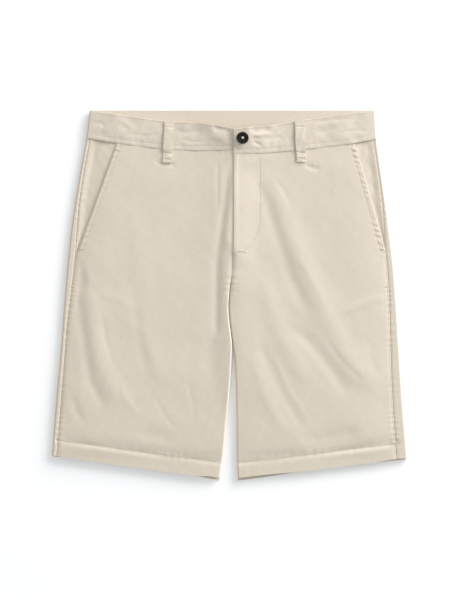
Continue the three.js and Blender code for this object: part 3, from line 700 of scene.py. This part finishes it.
# A loop below the back waistband, flat on the floor
def backLoopPiece(name, x):
    across = np.linspace(-0.5, 0.5, 12)[None, :]
    toEdge = np.abs(across)
    t = np.linspace(0, 1, 50)[:, None]
    loopX = x + across * loopSize["width"] + 0 * t
    down = 0.4 + t * loopSize["backLength"] + 0 * across
    under = 0.05 + 0.4 * (toEdge * 2) ** 8 + 0.2 * bump(toEdge - 0.33, 0.05) + 0 * t
    inside = np.stack([loopX, down, np.full(loopX.shape, loopSize["thick"])], -1)
    outside = np.stack([loopX, down, under], -1)
    return wallMesh(name, outside, inside)


pieces = {}
halves = dict(Right=rightSide, Left=leftSide)
makers = dict(front=frontPiece, back=backPiece, pocketFacing=facingPiece, waistband=bandPiece)
for kind, make in makers.items():
    for word, side in halves.items():
        pieces[kind + word] = make(kind + word, side)
pieces["loopFrontRight"] = frontLoopPiece("loopFrontRight", rightSide, -95.8, -3)
pieces["loopFrontLeft"] = frontLoopPiece("loopFrontLeft", leftSide, 97.2, 3)
backLoops = dict(Right=-105, Centre=0, Left=105)
for word, x in backLoops.items():
    pieces["loopBack" + word] = backLoopPiece("loopBack" + word, x)
print("cloth pieces made")


buttonSize = dict(across=17.8, thick=3.0, rim=2.0, dish=0.8, hole=1.7, pitch=2.9, sides=64, clear=0.9)


# Radius and height along the button's section, from the centre below to the centre of its dish
def buttonSection():
    r = buttonSize["across"] / 2
    top = buttonSize["thick"]
    rim = r - buttonSize["rim"]
    dish = top - buttonSize["dish"]
    return [(0, 0.2), (r - 1.6, 0.2), (r - 0.5, 0.7), (r, 1.5), (r - 0.25, top - 0.55), (r - 0.8, top - 0.1),
            (r - 1.3, top), (rim, top - 0.15), (rim - 0.9, top - 0.7), (rim - 1.8, dish), (0, dish - 0.1)]


def turnedDisc(name, section, sides):
    form = bmesh.new()
    rings = []
    for radius, z in section:
        angles = [i * math.tau / sides for i in range(sides if radius else 1)]
        rings.append([form.verts.new((radius * math.cos(a), radius * math.sin(a), z)) for a in angles])
    for low, high in zip(rings[:-1], rings[1:]):
        for i in range(sides):
            j = (i + 1) % sides
            if len(low) == 1:
                form.faces.new((low[0], high[j], high[i]))
            elif len(high) == 1:
                form.faces.new((low[i], low[j], high[0]))
            else:
                form.faces.new((low[i], low[j], high[j], high[i]))
    bmesh.ops.recalc_face_normals(form, faces=form.faces)
    mesh = bpy.data.meshes.new(name)
    form.to_mesh(mesh)
    form.free()
    mesh.shade_smooth()
    return linked(name, mesh)


# Four holes cut through, the modifiers applied
def drilled(piece):
    drills = []
    for sx in (-1, 1):
        for sy in (-1, 1):
            spot = (sx * buttonSize["pitch"] / 2, sy * buttonSize["pitch"] / 2, 0)
            radius = buttonSize["hole"] / 2
            bpy.ops.mesh.primitive_cylinder_add(vertices=20, radius=radius, depth=12, location=spot)
            drills.append(bpy.context.object)
    for drill in drills:
        cut = piece.modifiers.new("hole", "BOOLEAN")
        cut.operation = "DIFFERENCE"
        cut.object = drill
        cut.solver = "EXACT"
    graph = bpy.context.evaluated_depsgraph_get()
    made = bpy.data.meshes.new_from_object(piece.evaluated_get(graph))
    piece.modifiers.clear()
    piece.data = made
    for drill in drills:
        bpy.data.objects.remove(drill, do_unlink=True)


# Points turned by the button's tilt and set down on its seat
def seated(points, seat, tilt):
    c, s = math.cos(tilt), math.sin(tilt)
    x, y, z = points.T
    return np.stack([x, y * c - z * s, y * s + z * c], -1) + seat


def buttonPiece():
    low, high = (np.array(corner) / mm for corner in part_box("button"))
    centreX, centreY = ((low + high) / 2)[:2]
    piece = turnedDisc("button", buttonSection(), buttonSize["sides"])
    drilled(piece)
    x, down = centreX - middleX, topY - centreY
    waist = leftSide["waist"](x)
    brim = leftSide["brim"](x)
    r = buttonSize["across"] / 2

    def height(d):
        return float(bandTop(leftSide, np.array(x), np.array((d - brim) / (waist - brim)))[1])
    tilt = math.atan2(height(down - r) - height(down + r), 2 * r)
    seat = np.array([centreX, centreY, height(down) + buttonSize["clear"]])
    flat = np.array([vertex.co[:] for vertex in piece.data.vertices])
    for vertex, p in zip(piece.data.vertices, seated(flat, seat, tilt) * mm):
        vertex.co = p
    return piece, seat, tilt


pieces["button"], buttonSeat, buttonTilt = buttonPiece()


# One stitch: a short fat thread that narrows and dips at both ends
def capsule(radius, length, sides=6):
    rings = [(-0.5, 0.25), (-0.38, 0.85), (0, 1), (0.38, 0.85), (0.5, 0.25)]
    verts = []
    for along, fat in rings:
        for i in range(sides):
            a = i * math.tau / sides
            wide = fat * radius
            verts.append((along * length, wide * math.cos(a), wide * math.sin(a) - abs(along) * radius))
    verts.append((-0.52 * length, 0, -0.5 * radius))
    verts.append((0.52 * length, 0, -0.5 * radius))
    faces = []
    for i in range(sides):
        j = (i + 1) % sides
        for k in range(0, (len(rings) - 1) * sides, sides):
            faces.append((k + i, k + j, k + sides + j, k + sides + i))
        last = (len(rings) - 1) * sides
        faces.append((len(verts) - 2, j, i))
        faces.append((len(verts) - 1, last + i, last + j))
    return np.array(verts), faces


# lines: each an array of points on the cloth as x, down, z; one stitch each pitch, along or across them
def stitchPiece(name, lines, radius=0.26, length=2.7, pitch=3.3, across=False):
    verts, faces = [], []
    shape, shapeFaces = capsule(radius, length)
    for line in lines:
        steps = np.linalg.norm(np.diff(line, axis=0), axis=1)
        run = np.concatenate([[0], np.cumsum(steps)])

        def point(at):
            return np.array([np.interp(at, run, line[:, i]) for i in range(3)])
        for at in np.arange(pitch / 2, run[-1], pitch):
            ahead = point(min(at + 1, run[-1])) - point(max(at - 1, 0))
            ahead /= np.linalg.norm(ahead) + 1e-9
            aside = np.cross([0, 0, 1], ahead)
            aside /= np.linalg.norm(aside) + 1e-9
            up = np.cross(ahead, aside)
            if across:
                ahead, aside = aside, -ahead
            base = len(verts)
            axes = np.stack([ahead, aside, up])
            verts.extend(point(at) + shape @ axes + up * (radius * 0.35))
            faces.extend(tuple(i + base for i in face) for face in shapeFaces)
    mesh = bpy.data.meshes.new(name)
    mesh.from_pydata(place(np.array(verts)).tolist(), [], faces)
    mesh.validate()
    mesh.shade_smooth()
    return linked(name, mesh)


def onFront(side, xs, downs):
    xs, downs = np.broadcast_arrays(np.asarray(xs, float), np.asarray(downs, float))
    return np.stack([xs, downs, frontUnder(side, xs, downs) + cloth["ply"]], -1)


def onBand(side, xs, toLow):
    xs = np.asarray(xs, float)
    height = side["waist"](xs) - side["brim"](xs)
    down, z = bandDetail(side, xs, 1 - toLow / height)
    return np.stack([xs, down, z], -1)


# x, down, then the bar's own span along x and down
barTacks = dict(
    Right=[(-171, 59, 5, 2), (-225, 206, 6, 0.5), (-238, 262, 5, 0.5)],
    Left=[(178, 60, 5, -2), (221, 206, 5, 0.5), (12, 209.5, 14, 1.5), (227, 262, 5, 0.5)],
)
barSize = dict(radius=0.27, length=2.2, pitch=0.42)


def frontStitching(word, side):
    sign = side["sign"]
    lines = []
    # two rows along the pocket edge
    down = np.linspace(side["slantTop"][1] + 3, 210, 90)
    for inset in (slantSize["outerRow"], slantSize["innerRow"]):
        lines.append(onFront(side, slantX(side, down) - sign * inset, down))
    # the hem and the side seam below the pocket
    xs = np.linspace(side["outer"](505) - sign * 9, side["inner"](530) + sign * 6, 120)
    lines.append(onFront(side, xs, hemLine(side, xs) - 1.2))
    down = np.linspace(216, side["hemOuter"] - 3, 160)
    lines.append(onFront(side, side["outer"](down) - sign * (side["inset"](down) + sideStitchIn), down))
    # the waistband's two rows
    xs = np.linspace(sign * 4, side["outer"](40) - sign * 14, 120)
    lines.append(onBand(side, xs, band["seamIn"]))
    lines.append(onBand(side, xs, side["waist"](xs) - side["brim"](xs) - band["brimIn"]))
    if sign > 0:
        down = np.linspace(70, fly["end"] - 0.5, 100)
        lines.append(onFront(side, flyCurve(down), down))
        down = np.linspace(fly["end"] + 2, 262, 24)
        lines.append(onFront(side, side["inner"](down) + 2.2, down))
    pieces["stitching" + word] = stitchPiece("stitching" + word, lines)
    t = np.linspace(-0.5, 0.5, 12)
    bars = [onFront(side, x + dx * t, down + dd * t) for x, down, dx, dd in barTacks[word]]
    pieces["barTacks" + word] = stitchPiece("barTacks" + word, bars, across=True, **barSize)


for word, side in halves.items():
    frontStitching(word, side)

cotton = dict(strands=3, radius=0.38, pitch=0.42, inset=0.75, lift=0.75, dip=1.7, steps=14, sides=8)


# Thread in the button's holes: strands that bow over the dish between two holes
def buttonThread():
    verts, faces = [], []
    t = np.linspace(-1, 1, cotton["steps"])
    y = t * (buttonSize["pitch"] / 2 + 0.2)
    z = buttonSize["thick"] - buttonSize["dish"] + cotton["lift"] - cotton["dip"] * np.abs(t) ** 4
    sides = cotton["sides"]
    angles = np.arange(sides) * math.tau / sides
    for sx in (-1, 1):
        for k in range(cotton["strands"]):
            x = sx * (buttonSize["pitch"] / 2 - cotton["inset"]) + (k - 1) * cotton["pitch"]
            base = len(verts)
            strand = [(x + cotton["radius"] * math.cos(a), along, high + cotton["radius"] * math.sin(a))
                      for along, high in zip(y, z) for a in angles]
            verts.extend(seated(np.array(strand), buttonSeat, buttonTilt) * mm)
            for ring in range(base, base + (cotton["steps"] - 1) * sides, sides):
                for i in range(sides):
                    j = (i + 1) % sides
                    faces.append((ring + i, ring + j, ring + sides + j, ring + sides + i))
            last = base + (cotton["steps"] - 1) * sides
            faces.append(tuple(base + i for i in reversed(range(sides))))
            faces.append(tuple(last + i for i in range(sides)))
    mesh = bpy.data.meshes.new("buttonThread")
    mesh.from_pydata([tuple(v) for v in verts], [], faces)
    mesh.shade_smooth()
    return linked("buttonThread", mesh)


pieces["buttonThread"] = buttonThread()


# Buttonhole: a dense run of thread either side of a slit
def buttonhole():
    xs = np.linspace(3.4, 12, 16)                # its slit's length from the front edge
    toLow = leftSide["waist"](xs) - (topY - buttonSeat[1])
    lines = [onBand(leftSide, xs, toLow + off) for off in (-1.0, 1.0)]
    return stitchPiece("buttonhole", lines, radius=0.25, length=2.0, pitch=0.5, across=True)


pieces["buttonhole"] = buttonhole()
print("stitches made")


# A shader socket that takes arithmetic
class Wire:
    def __init__(self, tree, socket):
        self.tree, self.socket = tree, socket

    def math(self, operation, other=0.0, swap=False):
        a, b = (other, self) if swap else (self, other)
        return node(self.tree, "ShaderNodeMath", dict(operation=operation), {0: a, 1: b})

    def __add__(self, other):
        return self.math("ADD", other)

    def __radd__(self, other):
        return self.math("ADD", other)

    def __sub__(self, other):
        return self.math("SUBTRACT", other)

    def __rsub__(self, other):
        return self.math("SUBTRACT", other, True)

    def __mul__(self, other):
        return self.math("MULTIPLY", other)

    def __rmul__(self, other):
        return self.math("MULTIPLY", other)


# Any node: its type, its settings first, then the values or links of its sockets
def node(tree, kind, settings=None, inputs=None, output=0):
    made = tree.nodes.new(kind)
    for key, value in (settings or {}).items():
        setattr(made, key, value)
    for key, value in (inputs or {}).items():
        socket = made.inputs[key]
        if isinstance(value, Wire):
            tree.links.new(value.socket, socket)
        else:
            socket.default_value = value
    return Wire(tree, made.outputs[output])


def feed(shader, key, wire):
    wire.tree.links.new(wire.socket, shader.inputs[key])


def noise(tree, at, scale, detail, **more):
    return node(tree, "ShaderNodeTexNoise", None, {"Vector": at, "Scale": scale, "Detail": detail, **more})


# Colours are given as 8-bit sRGB
def linear(r, g, b):
    def one(v):
        v /= 255
        return v / 12.92 if v <= 0.04045 else ((v + 0.055) / 1.055) ** 2.4
    return (one(r), one(g), one(b), 1)


def newMaterial(name, **constants):
    material = bpy.data.materials.new(name)
    material.use_nodes = True
    tree = material.node_tree
    shader = tree.nodes["Principled BSDF"]
    for key, value in constants.items():
        shader.inputs[key].default_value = value
    return material, tree, shader


def mixColour(tree, amount, a, b):
    return node(tree, "ShaderNodeMix", dict(data_type="RGBA"), {0: amount, 6: a, 7: b}, output=2)


twillLook = dict(colour=(226, 214, 195), worn=(232, 221, 204), deep=(214, 200, 179), ribPitch=0.85, rough=0.9,
                 lean=1.0, yarnShare=1.9)


# Twill: fine diagonal ribs crossed by yarns, with a little unevenness of dye
def twillMaterial(name, look):
    material, tree, shader = newMaterial(name, **{"Sheen Weight": 0.12, "Sheen Roughness": 0.5,
                                                   "Specular IOR Level": 0.25})
    at = node(tree, "ShaderNodeTexCoord", output=3)
    parts = node(tree, "ShaderNodeSeparateXYZ", None, {0: at}).socket.node.outputs
    x, y, z = (Wire(tree, part) for part in parts)
    turns = math.tau / (look["ribPitch"] * mm)
    yarnTurns = turns * look["yarnShare"]
    rib = ((x * look["lean"] + y * 0.8 + z) * turns).math("SINE")
    yarn = (x * yarnTurns).math("SINE") * (y * yarnTurns).math("SINE")
    cloud = noise(tree, at, 9.0, 3.0, Roughness=0.5)
    slub = noise(tree, at, 420.0, 2.0)
    pale = mixColour(tree, cloud, linear(*look["colour"]), linear(*look["worn"]))
    colour = mixColour(tree, (slub - 0.42) * 0.9 + rib * 0.05, pale, linear(*look["deep"]))
    height = rib * 0.5 + yarn * 0.35 + slub * 0.9
    bumps = node(tree, "ShaderNodeBump", None, {"Strength": 0.28, "Distance": 0.00018, "Height": height})
    feed(shader, "Base Color", colour)
    feed(shader, "Roughness", slub * 0.12 + (look["rough"] - 0.06))
    feed(shader, "Normal", bumps)
    return material


def threadMaterial(name, colour):
    material, tree, shader = newMaterial(name, **{"Sheen Weight": 0.1})
    at = node(tree, "ShaderNodeTexCoord", output=3)
    grain = noise(tree, at, 900.0, 1.0)
    deep = tuple(c * 0.8 for c in colour)
    feed(shader, "Base Color", mixColour(tree, grain, linear(*colour), linear(*deep)))
    feed(shader, "Roughness", grain * 0.2 + 0.6)
    return material


def hornMaterial():
    material, tree, shader = newMaterial("hornButton", **{"Specular IOR Level": 0.3})
    at = node(tree, "ShaderNodeTexCoord", output=3)
    swirl = noise(tree, at, 260.0, 4.0, Distortion=1.4)
    bumps = node(tree, "ShaderNodeBump", None, {"Strength": 0.15, "Distance": 0.0001, "Height": swirl})
    feed(shader, "Base Color", mixColour(tree, swirl, linear(15, 11, 10), linear(32, 24, 21)))
    feed(shader, "Roughness", swirl * 0.2 + 0.42)
    feed(shader, "Normal", bumps)
    return material


twill = twillMaterial("twill", twillLook)
bandTwill = twillMaterial("twillBack", dict(twillLook, colour=(225, 213, 196)))
thread = threadMaterial("thread", (216, 203, 183))
# the bar tacks' thread is the stitching thread painted paler: painted light that lifts the shade between
# their close stitches
barThreadPaintedLight = threadMaterial("barThreadPaintedLight", (240, 229, 210))
buttonCotton = threadMaterial("buttonCotton", (250, 246, 238))
# every piece not named here is twill
madeOf = dict(button=hornMaterial(), buttonThread=buttonCotton, buttonhole=thread, stitchingRight=thread,
              stitchingLeft=thread, barTacksRight=barThreadPaintedLight, barTacksLeft=barThreadPaintedLight,
              waistbandRight=bandTwill, waistbandLeft=bandTwill)
for name, piece in pieces.items():
    piece.data.materials.clear()
    piece.data.materials.append(madeOf.get(name, twill))
zipTape = bpy.data.objects["zip"].data
zipTape.materials.clear()
zipTape.materials.append(threadMaterial("zipTape", (201, 189, 169)))
print("materials made")


# The CAD node that each piece stands for
standsFor = dict(
    frontRight="front_right", frontLeft="front_left", backRight="back_right", backLeft="back_left",
    pocketFacingRight="pocket_facing_right", pocketFacingLeft="pocket_facing_left",
    waistbandRight="waistband_right", waistbandLeft="waistband_left",
    loopFrontRight="belt_loop_front_right", loopFrontLeft="belt_loop_front_left",
    loopBackRight="belt_loop_back_right", loopBackCentre="belt_loop_back_centre",
    loopBackLeft="belt_loop_back_left", button="button",
)
for name, piece in pieces.items():
    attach(piece, "root")
    if name in standsFor:
        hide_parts(standsFor[name])
    "horn_button" if name == "button" else "twill"

# Each sheet's cut: width, length and area in metres
loopCut = dict(front=(0.0135, 0.061, None), back=(0.0135, 0.058, None))
cuts = dict(
    frontRight=(0.29, 0.52, 0.115), frontLeft=(0.29, 0.52, 0.112),
    backRight=(0.31, 0.53, 0.126), backLeft=(0.31, 0.53, 0.125),
    pocketFacingRight=(0.07, 0.17, 0.0072), pocketFacingLeft=(0.06, 0.17, 0.006),
    waistbandRight=(0.48, 0.046, 0.0195), waistbandLeft=(0.44, 0.046, 0.0183),
    loopFrontRight=loopCut["front"], loopFrontLeft=loopCut["front"],
    loopBackRight=loopCut["back"], loopBackCentre=loopCut["back"], loopBackLeft=loopCut["back"],
)
restsOn = dict(frontRight="backRight", frontLeft="backLeft", pocketFacingRight="backRight",
               pocketFacingLeft="backLeft", waistbandRight="loopBackRight", waistbandLeft="loopBackLeft",
               loopFrontRight="waistbandRight", loopFrontLeft="waistbandLeft")
for name, (width, length, area) in cuts.items():
    below = [restsOn[name]] if name in restsOn else []


# A floor that is white to the camera and keeps the shadow
def whiteFloor():
    bpy.ops.mesh.primitive_plane_add(size=12, location=(0, 0, -0.0002))
    floor = bpy.context.object
    floor.name = "floor"
    material, tree, paper = newMaterial("floorPaper", **{"Roughness": 1, "Base Color": (0.9, 0.9, 0.9, 1)})
    seen = node(tree, "ShaderNodeBsdfPrincipled", None, {
        "Base Color": (1, 1, 1, 1), "Roughness": 1, "Specular IOR Level": 0,
        "Emission Color": (1, 1, 1, 1), "Emission Strength": 0.14})
    toCamera = node(tree, "ShaderNodeLightPath")
    both = node(tree, "ShaderNodeMixShader", None, {0: toCamera, 1: Wire(tree, paper.outputs[0]), 2: seen})
    tree.links.new(both.socket, tree.nodes["Material Output"].inputs["Surface"])
    floor.data.materials.append(material)


# A low broad lamp from the upper right, in metres and watts
keyLamp = dict(spot=(3.9, 3.8, 1.41), power=548, wide=5.2, tall=2.3)


def studio():
    world = bpy.data.worlds.new("studio")
    bpy.context.scene.world = world
    world.use_nodes = True
    back = world.node_tree.nodes["Background"]
    back.inputs["Color"].default_value = (0.97, 0.985, 1, 1)
    back.inputs["Strength"].default_value = 0.57
    light = bpy.data.lights.new("key", "AREA")
    light.energy = keyLamp["power"]
    light.shape = "RECTANGLE"
    light.size = keyLamp["wide"]
    light.size_y = keyLamp["tall"]
    holder = linked("key", light)
    holder.location = keyLamp["spot"]
    holder.rotation_euler = (-Vector(keyLamp["spot"])).to_track_quat("-Z", "Y").to_euler()


def camera():
    view = bpy.data.cameras.new("camera")
    view.lens = 121
    view.sensor_width = 36
    view.clip_end = 20
    holder = linked("camera", view)
    holder.location = (-7.45 * mm, -7.45 * mm, 3.0)
    bpy.context.scene.camera = holder


whiteFloor()
studio()
camera()
bpy.context.scene.view_settings.view_transform = "Standard"
print("scene made")
